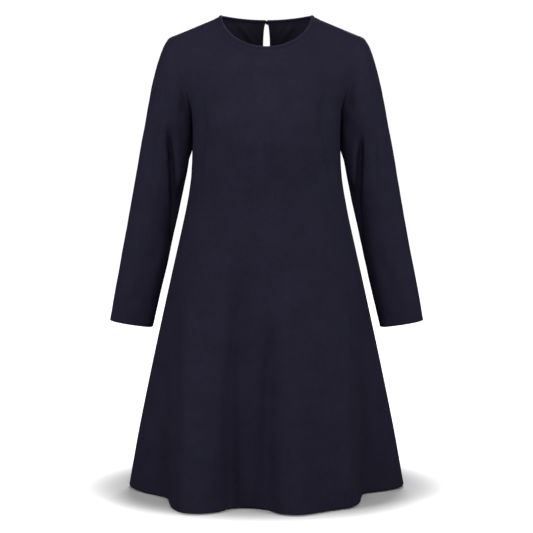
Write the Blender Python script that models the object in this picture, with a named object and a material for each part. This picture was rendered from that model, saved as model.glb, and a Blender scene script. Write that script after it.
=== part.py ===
"""A long-sleeved A-line dress, filled out as if worn, with nobody inside.

Metres, +Z up, the front towards -Y and the dress's own left sleeve at +X.
The origin is midway between the two side-neck points, where shoulders hold it.

The sewn pieces are a front, a back, two sleeves, a binding round the neck,
a binding round the keyhole at the back, and the keyhole's button and loop.
Each is one closed solid. The panels are grids of points worked out from
sections, seam lines and flutes, then given the thickness of the cloth.
"""

import math
from collections import namedtuple

import bmesh
import bpy
from mathutils import Vector
from mathutils.bvhtree import BVHTree

# ---------------------------------------------------------------- cloth
CLOTH = 0.0014
TURNED_UP = 0.0028
SEAM_GAP = 0.0003
HALF_GAP = SEAM_GAP / 2

# ---------------------------------------------------------------- levels
ARMPIT = Vector((0.1535, 0.0, -0.2085))
HEM_Z = -0.9668
HEM_DEPTH = 0.0250
HEM_EASING = 0.0030

# Half width at the side seams, and depth in front of and behind them.
Section = namedtuple("Section", "z half_width front back")
BODY = (
    Section(-0.1985, 0.1550, 0.1315, 0.1090),
    Section(ARMPIT.z, ARMPIT.x, 0.1330, 0.1090),
    Section(-0.2450, 0.1510, 0.1360, 0.1080),
    Section(-0.2850, 0.1508, 0.1350, 0.1060),
    Section(-0.3250, 0.1536, 0.1325, 0.1050),
    Section(-0.3700, 0.1603, 0.1320, 0.1070),
    Section(-0.4200, 0.1707, 0.1345, 0.1130),
    Section(-0.5500, 0.2004, 0.1470, 0.1340),
    Section(-0.7000, 0.2338, 0.1630, 0.1570),
    Section(-0.8500, 0.2650, 0.1790, 0.1790),
    Section(HEM_Z, 0.2862, 0.1915, 0.1945),
)

# Waves of the hem, as crests (reach outward) and hollows (inward) in turn.
# Bearings run from the centre front (0) over the side at +X (90) to the
# centre back (180). A flute starts at its own level, and leans by so many
# degrees from hem to start.
Flute = namedtuple("Flute", "bearing reach lean start")
FLUTES = (
    Flute(-90.0, 0.000, 0.0, -0.40),
    Flute(-53.0, -0.027, -18.0, -0.50),
    Flute(-27.0, 0.055, -13.0, -0.47),
    Flute(-7.0, -0.009, 2.0, -0.50),
    Flute(10.5, 0.045, 3.0, -0.48),
    Flute(31.0, 0.019, 10.0, -0.46),
    Flute(56.0, -0.050, 18.0, -0.50),
    Flute(90.0, 0.000, 0.0, -0.40),
    Flute(116.0, -0.034, -10.0, -0.50),
    Flute(139.0, 0.040, -6.0, -0.46),
    Flute(160.0, -0.012, -3.0, -0.52),
    Flute(182.0, 0.030, 0.0, -0.44),
    Flute(203.0, -0.016, 4.0, -0.52),
    Flute(222.0, 0.044, 6.0, -0.47),
    Flute(246.0, -0.030, 12.0, -0.50),
)
FLUTE_SWELL = 1.25

# ---------------------------------------------------------------- neck and shoulders
SEAM_Y = 0.004
NECK_HALF = 0.0900
NECK_FRONT = 0.0890
NECK_FRONT_DROP = 0.0590
NECK_BACK = 0.0600
NECK_BACK_DROP = 0.0088
NECK_DIP = 1.15
BINDING_HALF = 0.0055
BINDING_FRONT = 0.0025
BINDING_BACK = 0.0030
BINDING_DROP = 0.0047
BINDING_SIDE_DROP = 0.0022
SHOULDER = Vector((0.1950, SEAM_Y, -0.0432))

# ---------------------------------------------------------------- bodice
# Pull of each column's curve where it leaves the armpit's level, and where it
# arrives at the centre of the neck line, and at the shoulder seam.
RISE_STEP = 0.0100
ARMPIT_PULL = 0.1700
NECK_PULL = 0.1500
SHOULDER_PULL = 0.1000
# How far the cloth at the side of the neck heads over the shoulder, and how
# fast that grows along the shoulder seam.
NECK_CORNER_TURN = 0.5
SHOULDER_TURN_RATE = 1.5
# Shares of the bodice's height over which its sideways easing grows and fades.
EASE_IN = 0.20
EASE_OUT = 0.25

# ---------------------------------------------------------------- armhole
ARMHOLE_CENTRE = (SHOULDER + ARMPIT) / 2.0
ARMHOLE_UP = (SHOULDER - ARMPIT) / 2.0
ARMHOLE_DEPTH = 0.0520
SCOOP = {"front": 0.021, "back": 0.012}
ARMHOLE_OUT = Vector((ARMHOLE_UP.z, 0.0, -ARMHOLE_UP.x)).normalized()

# ---------------------------------------------------------------- sleeves
# Rings of a sleeve from the foot of its cap to its cuff. The rings tilt to
# stand square to the arm, and the last one tilts less.
Ring = namedtuple("Ring", "z x y half_width half_depth")
SLEEVE = (
    Ring(-0.262, 0.2030, 0.0020, 0.0514, 0.0415),
    Ring(-0.340, 0.2183, 0.0030, 0.0505, 0.0395),
    Ring(-0.420, 0.2346, 0.0020, 0.0490, 0.0365),
    Ring(-0.500, 0.2512, -0.0020, 0.0474, 0.0330),
    Ring(-0.570, 0.2658, -0.0070, 0.0461, 0.0290),
    Ring(-0.624, 0.2770, -0.0110, 0.0450, 0.0255),
)
SLEEVE_TILT = math.radians(11.7)
CUFF_TILT = math.radians(8.5)
CUFF_HEM = 0.0200

# Heading of the cap's cloth where it leaves the armhole, and the pull of its
# curve at both ends. Each is the value halfway down the armhole, and what is
# added to it at the shoulder point and taken off it at the armpit.
Cap = namedtuple("Cap", "middle change")
CAP_OUT = Cap(0.39, 0.33)
CAP_DOWN = Cap(0.86, -0.14)
CAP_LEAVE_PULL = Cap(0.085, 0.035)
CAP_ARRIVE_PULL = Cap(0.125, 0.075)
CAP_FORWARD = 0.20

# Long soft hollows in the sleeves, where each one spirals from the front or the
# back of the cap to the inside of the elbow. Turns run from the outer line (0)
# over the front (90) to the inner line (180). A hollow deepens over a share of
# its height at the start, and fades over another at the end.
HOLLOW_START = 0.30
HOLLOW_END = 0.35
Hollow = namedtuple("Hollow", "side turn_top turn_low top low depth spread")
SLEEVE_HOLLOWS = (
    Hollow(-1, 78.0, 168.0, -0.150, -0.460, 0.0050, 17.0),
    Hollow(-1, 285.0, 200.0, -0.170, -0.430, 0.0040, 18.0),
    Hollow(1, 84.0, 165.0, -0.140, -0.440, 0.0045, 17.0),
    Hollow(1, 275.0, 196.0, -0.150, -0.470, 0.0045, 18.0),
)

# ---------------------------------------------------------------- grid
NECK_COLUMNS = 7
SHOULDER_COLUMNS = 7
COLUMNS = NECK_COLUMNS + SHOULDER_COLUMNS
NECK_BEARING = 41.0
BODICE_ROWS = 11
SKIRT_ROWS = 21
CAP_ROWS = 6
ARM_ROWS = 11
EASING_ROUNDS = 8
SHARP_ANGLE = math.radians(50.0)

# ---------------------------------------------------------------- keyhole
KEYHOLE_TOP = -0.0120
KEYHOLE_LENGTH = 0.1040
KEYHOLE_HALF = 0.0068
KEYHOLE_STRIP = 0.0040
KEYHOLE_STEPS = 26
KEYHOLE_START = -0.0138
NECK_GAP_HALF = 0.0008
NECK_CORNER = 0.0035
NECK_CORNER_ROUND = 0.25
CUTTER_TOP = 0.0100
CUTTER_NEAR = 0.0300
CUTTER_FAR = 0.1600
RAY_START = 0.5000
RAY_STEP = 0.0040

# Faces of the bindings, measured outward from the panels' outside.
PROUD = 0.0005
BEHIND = -0.0019
BINDING_BEVEL = 0.0008

# ---------------------------------------------------------------- button and loop
BUTTON_X = 0.0030
BUTTON_Z = -0.0155
BUTTON_SEGMENTS = 16
# Radius and height above the cloth, from the shank's foot to the middle of the face.
BUTTON_PROFILE = (
    (0.0011, 0.0008),
    (0.0011, 0.0028),
    (0.0043, 0.0028),
    (0.0050, 0.0033),
    (0.0050, 0.0041),
    (0.0045, 0.0047),
    (0.0034, 0.0049),
    (0.0014, 0.0046),
)
LOOP_RADIUS = 0.00075
LOOP_LIFT = 0.0017
LOOP_TURN = 0.0022
LOOP_ROOT_X = -0.0045
LOOP_STEPS = 10

# ---------------------------------------------------------------- finishes
NAVY = (0.019, 0.018, 0.031)
BUTTON_NAVY = (0.012, 0.012, 0.020)
CREPE_ROUGHNESS = 0.85
BUTTON_ROUGHNESS = 0.35


def smooth(share):
    """Ease from 0 to 1 with level ends."""
    share = min(max(share, 0.0), 1.0)
    return share * share * (3.0 - 2.0 * share)


def hermite(start, leave, end, arrive, share):
    """Point on the curve that leaves start along one vector and arrives along the other."""
    s2 = share * share
    s3 = s2 * share
    return (start * (2 * s3 - 3 * s2 + 1) + leave * (s3 - 2 * s2 + share)
            + end * (3 * s2 - 2 * s3) + arrive * (s3 - s2))


def read(rows, column, z):
    """One column of a table of sections, joined smoothly from row to row."""
    last = len(rows) - 1
    low = next((i for i in range(last) if z >= rows[i + 1].z), last - 1)

    def value(i):
        return getattr(rows[min(max(i, 0), last)], column)

    def slope(i):
        a, b = max(i - 1, 0), min(i + 1, last)
        return (value(b) - value(a)) / (rows[b].z - rows[a].z)

    step = rows[low + 1].z - rows[low].z
    share = (z - rows[low].z) / step
    return hermite(value(low), slope(low) * step, value(low + 1), slope(low + 1) * step, share)


def flute_reach(bearing, z):
    """How far the waves of the hem carry the cloth outward at one bearing and level."""
    crests = []
    for flute in FLUTES:
        fall = min(max((flute.start - z) / (flute.start - HEM_Z), 0.0), 1.0)
        crests.append((flute.bearing + flute.lean * (1.0 - fall), flute.reach * fall ** FLUTE_SWELL))
    crests.append((crests[0][0] + 360.0, crests[0][1]))
    for (here, reach), (there, next_reach) in zip(crests, crests[1:]):
        if here <= bearing <= there:
            return reach + (next_reach - reach) * smooth((bearing - here) / (there - here))
    return 0.0


def body_point(bearing, z):
    """Outside of the dress below the armholes."""
    half = read(BODY, "half_width", z)
    depth = read(BODY, "front" if abs(bearing) <= 90.0 else "back", z)
    across = math.sin(math.radians(bearing))
    ahead = math.cos(math.radians(bearing))
    outward = Vector((depth * across, -half * ahead, 0.0)).normalized()
    return Vector((half * across, -depth * ahead, z)) + outward * flute_reach(bearing, z)


def neck_edge(face, side, bearing, inset):
    """Neck line: inset 0 is the top of its binding, and 1 the panel's own edge."""
    across = math.sin(math.radians(bearing))
    along = abs(math.cos(math.radians(bearing)))
    side_drop = inset * BINDING_SIDE_DROP * across * across
    if face == "front":
        depth = -(NECK_FRONT + inset * BINDING_FRONT) * along
        drop = (NECK_FRONT_DROP + inset * BINDING_DROP) * along ** NECK_DIP
    else:
        depth = (NECK_BACK + inset * BINDING_BACK) * along
        drop = (NECK_BACK_DROP + inset * BINDING_DROP) * along * along
    half = NECK_HALF + inset * BINDING_HALF
    return Vector((side * half * across, SEAM_Y + depth, -drop - side_drop))


def armhole(face, side, turn):
    """Armhole line: turn 0 is the shoulder point and 180 the armpit."""
    up = math.cos(math.radians(turn))
    ahead = math.sin(math.radians(turn)) * (-1.0 if face == "front" else 1.0)
    point = ARMHOLE_CENTRE + ARMHOLE_UP * up + Vector((0.0, ARMHOLE_DEPTH * ahead, 0.0))
    point.x -= SCOOP[face] * ahead * ahead * ((1.0 - up) / 2.0) ** 2
    return Vector((side * point.x, point.y, point.z))


def column_bearing(column):
    """Bearing from the centre line of a panel's column of points."""
    if column <= NECK_COLUMNS:
        return NECK_BEARING * column / NECK_COLUMNS
    share = (column - NECK_COLUMNS) / SHOULDER_COLUMNS
    return NECK_BEARING + (90.0 - NECK_BEARING) * share


def column_top(face, side, column):
    """Where a column ends, on the neck line or the shoulder seam, and its heading there."""
    over = Vector((0.0, 1.0 if face == "front" else -1.0, 0.0))
    share = min(column / NECK_COLUMNS, 1.0)
    turn = 90.0 * share
    corner = neck_edge(face, side, turn, 1.0)
    to_neck = (neck_edge(face, side, turn, 0.0) - corner).normalized()
    if column <= NECK_COLUMNS:
        blend = NECK_CORNER_TURN * share ** 2
        heading = (to_neck * (1.0 - blend) + over * blend).normalized()
        return corner, heading * (NECK_PULL + (SHOULDER_PULL - NECK_PULL) * share)
    share = (column - NECK_COLUMNS) / SHOULDER_COLUMNS
    end = Vector((side * SHOULDER.x, SHOULDER.y, SHOULDER.z))
    blend = NECK_CORNER_TURN + (1.0 - NECK_CORNER_TURN) * smooth(share * SHOULDER_TURN_RATE)
    heading = (to_neck * (1.0 - blend) + over * blend).normalized()
    return corner.lerp(end, share), heading * SHOULDER_PULL


def rising_column(face, side, column, share):
    """A column's own curve from the armpit's level to the top of its panel."""
    bearing = column_bearing(column) * side
    if face == "back":
        bearing = 180.0 - bearing
    start = body_point(bearing, ARMPIT.z)
    leave = (body_point(bearing, ARMPIT.z + RISE_STEP) - start) / RISE_STEP
    end, arrive = column_top(face, side, column)
    return hermite(start, leave * ARMPIT_PULL, end, arrive, share)


def bodice_point(face, side, column, share):
    """Outside of the bodice: share 0 is the armpit's level, 1 the top of the panel."""
    point = rising_column(face, side, column, share)
    if column > NECK_COLUMNS:
        near = (column - NECK_COLUMNS) / SHOULDER_COLUMNS
        armhole_line = armhole(face, side, 180.0 * (1.0 - share))
        point += (armhole_line - rising_column(face, side, COLUMNS, share)) * near ** 2
    return point


def ease_row(row, share):
    """Soften a bodice row sideways, so the neck's corner leaves no ridge in the cloth below it."""
    amount = smooth(share / EASE_IN) * smooth((1.0 - share) / EASE_OUT)
    for _ in range(EASING_ROUNDS):
        eased = [(a + c) / 4 + b / 2 for a, b, c in zip(row, row[1:], row[2:])]
        row = [row[0]] + [b.lerp(e, amount) for b, e in zip(row[1:-1], eased)] + [row[-1]]
    return row


def skirt_levels():
    """Levels of a panel's rows, from the hem up to the armpit."""
    first = HEM_Z + HEM_DEPTH + HEM_EASING
    levels = [HEM_Z, HEM_Z + HEM_DEPTH, first]
    for row in range(1, SKIRT_ROWS + 1):
        levels.append(first + (ARMPIT.z - first) * row / SKIRT_ROWS)
    return levels


def hollow_depth(side, turn, z):
    """How far the sleeve's hollows draw the cloth inward."""
    depth = 0.0
    for fold in SLEEVE_HOLLOWS:
        if fold.side != side:
            continue
        share = (fold.top - z) / (fold.top - fold.low)
        middle = fold.turn_top + (fold.turn_low - fold.turn_top) * smooth(share)
        ends = smooth(share / HOLLOW_START) * smooth((1.0 - share) / HOLLOW_END)
        depth += fold.depth * ends * math.exp(-(((turn - middle) / fold.spread) ** 2))
    return depth


def grid_faces(rows, columns, closed):
    """Quads of a grid of points that is kept row by row."""
    faces = []
    for row in range(rows - 1):
        for column in range(columns if closed else columns - 1):
            after = (column + 1) % columns
            faces.append((row * columns + column, row * columns + after,
                          (row + 1) * columns + after, (row + 1) * columns + column))
    return faces


def cloth_wall(name, points, faces, depths, limits):
    """Closed solid from the outside points: a second, inner sheet and a rim between them.

    depths holds each point's thickness. limits gives, for a point on a seam, the
    planes that its inner point stays behind: pairs of a normal and whether the
    point has to stay in that plane.
    """
    bm = bmesh.new()
    outer = [bm.verts.new(p) for p in points]
    for face in faces:
        bm.faces.new([outer[i] for i in face])
    bmesh.ops.triangulate(bm, faces=bm.faces[:], quad_method="SHORT_EDGE")
    bm.normal_update()
    inner = []
    for i, vert in enumerate(outer):
        inward = -vert.normal
        for normal, in_plane in limits.get(i, ()):
            crossing = inward.dot(normal)
            if in_plane or crossing > 0.0:
                inward = (inward - normal * crossing).normalized()
        inner.append(vert.co + inward * depths[i])
    copies = [bm.verts.new(p) for p in inner]
    order = {vert: i for i, vert in enumerate(outer)}
    sheet = [[order[v] for v in face.verts] for face in bm.faces]
    rims = [[order[loop.vert], order[loop.link_loop_next.vert]]
            for face in bm.faces for loop in face.loops if loop.edge.is_boundary]
    for triangle in sheet:
        bm.faces.new([copies[i] for i in reversed(triangle)])
    for a, b in rims:
        bm.faces.new((outer[b], outer[a], copies[a], copies[b]))
    return finish(name, bm)


def finish(name, bm):
    """Put a bmesh into the scene as a smooth-shaded object of its own."""
    bmesh.ops.recalc_face_normals(bm, faces=bm.faces[:])
    mesh = bpy.data.meshes.new(name)
    bm.to_mesh(mesh)
    bm.free()
    mesh.shade_smooth()
    mesh.set_sharp_from_angle(angle=SHARP_ANGLE)
    piece = bpy.data.objects.new(name, mesh)
    bpy.context.scene.collection.objects.link(piece)
    return piece


def panel_points(face):
    """Outside points of a front or back, row by row from the hem, and its columns' count."""
    columns = list(range(-COLUMNS, COLUMNS + 1))
    seam = -HALF_GAP if face == "front" else HALF_GAP
    points = []
    for z in skirt_levels():
        for column in columns:
            side = -1 if column < 0 else 1
            bearing = column_bearing(abs(column)) * side
            if face == "back":
                bearing = 180.0 - bearing
            point = body_point(bearing, z)
            if abs(column) == COLUMNS:
                point.y = seam
            points.append(point)
    for row in range(1, BODICE_ROWS + 1):
        share = row / BODICE_ROWS
        level = [bodice_point(face, -1 if c < 0 else 1, abs(c), share) for c in columns]
        level = ease_row(level, share)
        if row == BODICE_ROWS:
            for column, point in zip(columns, level):
                if abs(column) >= NECK_COLUMNS:
                    point.y = SEAM_Y + seam
        points += level
    return points, len(columns)


def panel(face):
    """The front or the back, cut in one piece from hem to shoulder."""
    points, width = panel_points(face)
    rows = len(points) // width
    faces = grid_faces(rows, width, closed=False)
    if face == "back":
        faces = [tuple(reversed(f)) for f in faces]
    depths = []
    for point in points:
        depths.append(TURNED_UP if point.z < HEM_Z + HEM_DEPTH + 0.5 * HEM_EASING else CLOTH)
    ahead = Vector((0.0, 1.0, 0.0))
    limits = {}
    skirt = len(skirt_levels())
    for row in range(rows):
        for end, side in ((0, -1), (width - 1, 1)):
            here = row * width + end
            if row < skirt:
                limits.setdefault(here, []).append((ahead, True))
            if row >= skirt - 1:
                out = Vector((side * ARMHOLE_OUT.x, 0.0, ARMHOLE_OUT.z))
                limits.setdefault(here, []).append((out, False))
    for column in range(-COLUMNS, COLUMNS + 1):
        here = (rows - 1) * width + column + COLUMNS
        if abs(column) >= NECK_COLUMNS:
            limits.setdefault(here, []).append((ahead, True))
        if abs(column) <= NECK_COLUMNS:
            low, top = neck_station(face, column)
            limits.setdefault(here, []).append(((top - low).normalized(), True))
    return cloth_wall(face, points, faces, depths, limits)


def neck_station(face, column):
    """The panel's edge and the binding's top edge at one column of the neck line."""
    side = -1 if column < 0 else 1
    turn = 90.0 * abs(column) / NECK_COLUMNS
    return neck_edge(face, side, turn, 1.0), neck_edge(face, side, turn, 0.0)


def strip(name, stations, outward):
    """Closed band of cloth. Each station is its sewn edge and its free edge, and outward
    gives the way out of the cloth at each of them."""
    bm = bmesh.new()
    rings = []
    for (sewn, free), out in zip(stations, outward):
        across = free - sewn
        width = across.length
        across.normalize()
        bevel = BINDING_BEVEL
        profile = (
            (0.0, BEHIND), (0.0, PROUD),
            (width - bevel, PROUD), (width, PROUD - bevel),
            (width, BEHIND + bevel), (width - bevel, BEHIND),
        )
        rings.append([bm.verts.new(sewn + across * a + out * t) for a, t in profile])
    for ring, after in zip(rings, rings[1:]):
        for i, vert in enumerate(ring):
            j = (i + 1) % len(ring)
            bm.faces.new((vert, ring[j], after[j], after[i]))
    bm.faces.new(reversed(rings[0]))
    bm.faces.new(rings[-1])
    return finish(name, bm)


def neck_binding():
    """Narrow binding of the neck line, open at the centre back, where its corners are rounded."""
    left_back = [neck_station("back", c) for c in range(0, -NECK_COLUMNS - 1, -1)]
    front = [neck_station("front", c) for c in range(-NECK_COLUMNS + 1, NECK_COLUMNS)]
    right_back = [neck_station("back", c) for c in range(NECK_COLUMNS, -1, -1)]
    stations = left_back + front + right_back
    ring = []
    for i, (low, top) in enumerate(stations):
        ahead = stations[min(i + 1, len(stations) - 1)][1] - stations[max(i - 1, 0)][1]
        across = (top - low).normalized()
        ring.append((low + across * SEAM_GAP, top, ahead.cross(across).normalized()))

    def between(a, b, x):
        share = (x - a[0].x) / (b[0].x - a[0].x)
        return [p.lerp(q, share) for p, q in zip(a, b)]

    def rounded(end):
        low, top, out = end
        return low, top - (top - low) * NECK_CORNER_ROUND, out

    ends = []
    for middle, beside, side in ((ring[0], ring[1], -1), (ring[-1], ring[-2], 1)):
        corner = between(middle, beside, side * NECK_CORNER)
        ends.append((rounded(between(middle, beside, side * NECK_GAP_HALF)), corner))
    ring = [ends[0][0], ends[0][1]] + ring[1:-1] + [ends[1][1], ends[1][0]]
    return strip("neck_binding", [r[:2] for r in ring], [r[2] for r in ring])


def keyhole_line(turn, spread):
    """The keyhole's outline in the XZ plane, moved outward by spread; turn 180 is its foot."""
    angle = math.radians(turn)
    half_length = KEYHOLE_LENGTH / 2
    point = Vector((KEYHOLE_HALF * math.sin(angle), 0.0,
                    KEYHOLE_TOP - half_length * (1.0 - math.cos(angle))))
    out = Vector((half_length * math.sin(angle), 0.0, KEYHOLE_HALF * math.cos(angle))).normalized()
    return point + out * spread


def keyhole_turns():
    """Turns of the outline's points from the right-hand top, round the foot, to the left."""
    first = math.degrees(math.acos(1.0 - 2.0 * (KEYHOLE_TOP - KEYHOLE_START) / KEYHOLE_LENGTH))
    return [first + (360.0 - 2.0 * first) * i / KEYHOLE_STEPS for i in range(KEYHOLE_STEPS + 1)]


def cut_keyhole(back):
    """Cut the keyhole, with room for its binding, through the back from the neck line down."""
    outline = [keyhole_line(t, KEYHOLE_STRIP + 2.0 * SEAM_GAP) for t in keyhole_turns()]
    corners = [Vector((p.x, 0.0, CUTTER_TOP)) for p in (outline[0], outline[-1])]
    outline = [corners[0]] + outline + [corners[1]]
    bm = bmesh.new()
    loop = [bm.verts.new((p.x, CUTTER_NEAR, p.z)) for p in outline]
    face = bm.faces.new(loop)
    extruded = bmesh.ops.extrude_face_region(bm, geom=[face])
    moved = [item for item in extruded["geom"] if isinstance(item, bmesh.types.BMVert)]
    bmesh.ops.translate(bm, verts=moved, vec=(0.0, CUTTER_FAR - CUTTER_NEAR, 0.0))
    cutter = finish("keyhole_cutter", bm)
    cutter.hide_render = True
    cutter.display_type = "WIRE"
    cut = back.modifiers.new("keyhole", "BOOLEAN")
    cut.operation = "DIFFERENCE"
    cut.object = cutter
    cut.solver = "EXACT"


def back_surface(back):
    """A function that gives the point of the back's outside, and the way out, at an x and z."""
    mesh = back.data
    tree = BVHTree.FromPolygons([v.co for v in mesh.vertices], [p.vertices for p in mesh.polygons])

    def hit(x, z):
        return tree.ray_cast(Vector((x, RAY_START, z)), Vector((0.0, -1.0, 0.0)))[0]

    def at(x, z):
        point = hit(x, z)
        rise = point - hit(x, z - RAY_STEP)
        return point, Vector((0.0, rise.z, -rise.y)).normalized()

    return at


def keyhole_binding(surface):
    """Binding of the keyhole: a narrow U of cloth on the back's outline."""
    stations, outward = [], []
    for turn in keyhole_turns():
        edges = []
        for spread in (KEYHOLE_STRIP, 0.0):
            flat = keyhole_line(turn, spread)
            point, out = surface(flat.x, min(flat.z, KEYHOLE_START))
            edges.append(point)
        stations.append(tuple(edges))
        outward.append(out)
    return strip("keyhole_binding", stations, outward)


def button_frame(surface):
    """Where the button stands: a point on the cloth, the way across, up and out."""
    point, out = surface(BUTTON_X, BUTTON_Z)
    across = Vector((1.0, 0.0, 0.0))
    return point, across, across.cross(out), out


def neck_button(surface):
    """Small domed button on a shank, at the top of the keyhole."""
    point, across, up, out = button_frame(surface)
    bm = bmesh.new()
    rings = []
    for radius, height in BUTTON_PROFILE:
        ring = []
        for i in range(BUTTON_SEGMENTS):
            angle = 2.0 * math.pi * i / BUTTON_SEGMENTS
            rim = across * radius * math.cos(angle) + up * radius * math.sin(angle)
            ring.append(bm.verts.new(point + rim + out * height))
        rings.append(ring)
    for ring, after in zip(rings, rings[1:]):
        for i in range(BUTTON_SEGMENTS):
            j = (i + 1) % BUTTON_SEGMENTS
            bm.faces.new((ring[i], ring[j], after[j], after[i]))
    bm.faces.new(reversed(rings[0]))
    bm.faces.new(rings[-1])
    return finish("neck_button", bm)


def button_loop(surface):
    """Cord loop from the other edge of the keyhole, round the button's shank."""
    point, across, up, out = button_frame(surface)
    base = point + out * LOOP_LIFT
    root = across * (LOOP_ROOT_X - BUTTON_X)
    route = [base + root + up * LOOP_TURN]
    for i in range(LOOP_STEPS + 1):
        angle = math.pi * (0.5 - i / LOOP_STEPS)
        route.append(base + (across * math.cos(angle) + up * math.sin(angle)) * LOOP_TURN)
    route.append(base + root - up * LOOP_TURN)
    curve = bpy.data.curves.new("button_loop", "CURVE")
    curve.dimensions = "3D"
    curve.bevel_depth = LOOP_RADIUS
    curve.bevel_resolution = 2
    curve.use_fill_caps = True
    spline = curve.splines.new("POLY")
    spline.points.add(len(route) - 1)
    for knot, place in zip(spline.points, route):
        knot.co = (*place, 1.0)
    cord = bpy.data.objects.new("button_loop", curve)
    bpy.context.scene.collection.objects.link(cord)
    return cord


def sleeve_ring(side, z, turn):
    """Outside of a sleeve below its cap: turn 0 is the outer line, 180 the inner one."""
    near_cuff = smooth((SLEEVE[-2].z - z) / (SLEEVE[-2].z - SLEEVE[-1].z))
    tilt = SLEEVE_TILT + (CUFF_TILT - SLEEVE_TILT) * near_cuff
    centre = Vector((read(SLEEVE, "x", z), read(SLEEVE, "y", z), z))
    outward = Vector((math.cos(tilt), 0.0, math.sin(tilt)))
    across = outward * math.cos(math.radians(turn))
    ahead = Vector((0.0, -1.0, 0.0)) * math.sin(math.radians(turn))
    half_width = read(SLEEVE, "half_width", z)
    half_depth = read(SLEEVE, "half_depth", z)
    hollow = (across / half_width + ahead / half_depth).normalized() * hollow_depth(side, turn, z)
    point = centre + across * half_width + ahead * half_depth - hollow
    return Vector((side * point.x, point.y, point.z))


def cap_point(side, turn, share):
    """Outside of a sleeve's cap, from the armhole to the first ring below it."""
    up = math.cos(math.radians(turn))
    ahead = math.sin(math.radians(turn))
    face = "front" if ahead >= 0.0 else "back"
    out = Vector((side * ARMHOLE_OUT.x, 0.0, ARMHOLE_OUT.z))
    start = armhole(face, side, turn if turn <= 180.0 else 360.0 - turn) + out * SEAM_GAP
    def at(cap):
        return cap.middle + cap.change * up

    leave = Vector((side * at(CAP_OUT), -CAP_FORWARD * ahead, -at(CAP_DOWN))) * at(CAP_LEAVE_PULL)
    arrive = Vector((side * math.sin(SLEEVE_TILT), 0.0, -math.cos(SLEEVE_TILT))) * at(CAP_ARRIVE_PULL)
    point = hermite(start, leave, sleeve_ring(side, SLEEVE[0].z, turn), arrive, share)
    outward = Vector((side * up, -ahead, 0.0))
    return point - outward * hollow_depth(side, turn, point.z) * (1.0 - smooth(share))


def sleeve(name, side):
    """One sleeve, sewn into a tube, from its cap in the armhole to its turned-up cuff."""
    around = 2 * BODICE_ROWS
    turns = [360.0 * i / around for i in range(around)]
    points = []
    for row in range(CAP_ROWS):
        points += [cap_point(side, turn, row / CAP_ROWS) for turn in turns]
    top, cuff = SLEEVE[0].z, SLEEVE[-1].z
    levels = [top + (cuff + CUFF_HEM + HEM_EASING - top) * i / ARM_ROWS for i in range(ARM_ROWS + 1)]
    levels += [cuff + CUFF_HEM, cuff]
    for z in levels:
        points += [sleeve_ring(side, z, turn) for turn in turns]
    rows = CAP_ROWS + len(levels)
    faces = grid_faces(rows, around, closed=True)
    if side < 0:
        faces = [tuple(reversed(f)) for f in faces]
    depths = [CLOTH] * (around * (rows - 2)) + [TURNED_UP] * (around * 2)
    out = Vector((side * ARMHOLE_OUT.x, 0.0, ARMHOLE_OUT.z))
    limits = {i: [(-out, False)] for i in range(around)}
    return cloth_wall(name, points, faces, depths, limits)


def clear_scene():
    """Start from an empty scene."""
    for item in list(bpy.data.objects):
        bpy.data.objects.remove(item, do_unlink=True)


def finish_material(name, colour, roughness):
    """Plain finish of one piece."""
    material = bpy.data.materials.new(name)
    material.use_nodes = True
    shader = material.node_tree.nodes["Principled BSDF"]
    shader.inputs["Base Color"].default_value = (*colour, 1.0)
    shader.inputs["Roughness"].default_value = roughness
    shader.inputs["Metallic"].default_value = 0.0
    return material


def main():
    clear_scene()
    back = panel("back")
    surface = back_surface(back)
    cut_keyhole(back)
    crepe = (panel("front"), back, sleeve("sleeve_right", -1), sleeve("sleeve_left", 1),
             neck_binding(), keyhole_binding(surface), button_loop(surface))
    for piece in crepe:
        piece.data.materials.append(finish_material(piece.name + "_crepe", NAVY, CREPE_ROUGHNESS))
    button = neck_button(surface)
    button.data.materials.append(finish_material("button_plastic", BUTTON_NAVY, BUTTON_ROUGHNESS))


main()
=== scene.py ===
"""Looks of a long-sleeved A-line dress in navy crepe, filled out as if worn.

Metres, +Z up, the front towards -Y. Each cloth piece is a thin shell on the form of
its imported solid: the same sections, seam lines and flutes, read on a finer grid, with
the creases, rolled seams and turn-ups that the plain solids leave out.
"""

import math
from collections import namedtuple

import bmesh
import bpy
import numpy as np
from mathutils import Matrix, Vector, noise
from mathutils.bvhtree import BVHTree


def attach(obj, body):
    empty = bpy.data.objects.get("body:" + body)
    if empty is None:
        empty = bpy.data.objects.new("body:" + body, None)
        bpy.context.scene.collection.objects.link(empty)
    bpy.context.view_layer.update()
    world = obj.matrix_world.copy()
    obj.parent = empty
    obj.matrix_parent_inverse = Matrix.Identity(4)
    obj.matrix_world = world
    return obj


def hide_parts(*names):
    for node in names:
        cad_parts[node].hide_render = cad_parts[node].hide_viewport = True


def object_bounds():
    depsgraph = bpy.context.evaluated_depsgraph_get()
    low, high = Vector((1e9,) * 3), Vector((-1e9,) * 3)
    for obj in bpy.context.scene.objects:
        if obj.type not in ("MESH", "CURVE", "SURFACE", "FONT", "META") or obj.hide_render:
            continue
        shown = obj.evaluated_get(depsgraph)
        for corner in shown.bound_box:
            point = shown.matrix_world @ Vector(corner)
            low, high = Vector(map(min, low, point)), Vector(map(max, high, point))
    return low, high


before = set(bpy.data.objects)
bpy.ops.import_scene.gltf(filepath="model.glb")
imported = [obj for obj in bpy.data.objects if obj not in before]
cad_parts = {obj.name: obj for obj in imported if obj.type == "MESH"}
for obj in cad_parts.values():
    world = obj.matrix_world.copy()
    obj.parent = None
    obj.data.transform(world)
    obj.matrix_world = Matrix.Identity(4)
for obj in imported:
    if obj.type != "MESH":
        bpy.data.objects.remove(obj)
solids_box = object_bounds()

# ------------ form of the dress
ARMPIT = Vector((0.1535, 0.0, -0.2085))
HEM_Z = -0.9668

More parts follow.
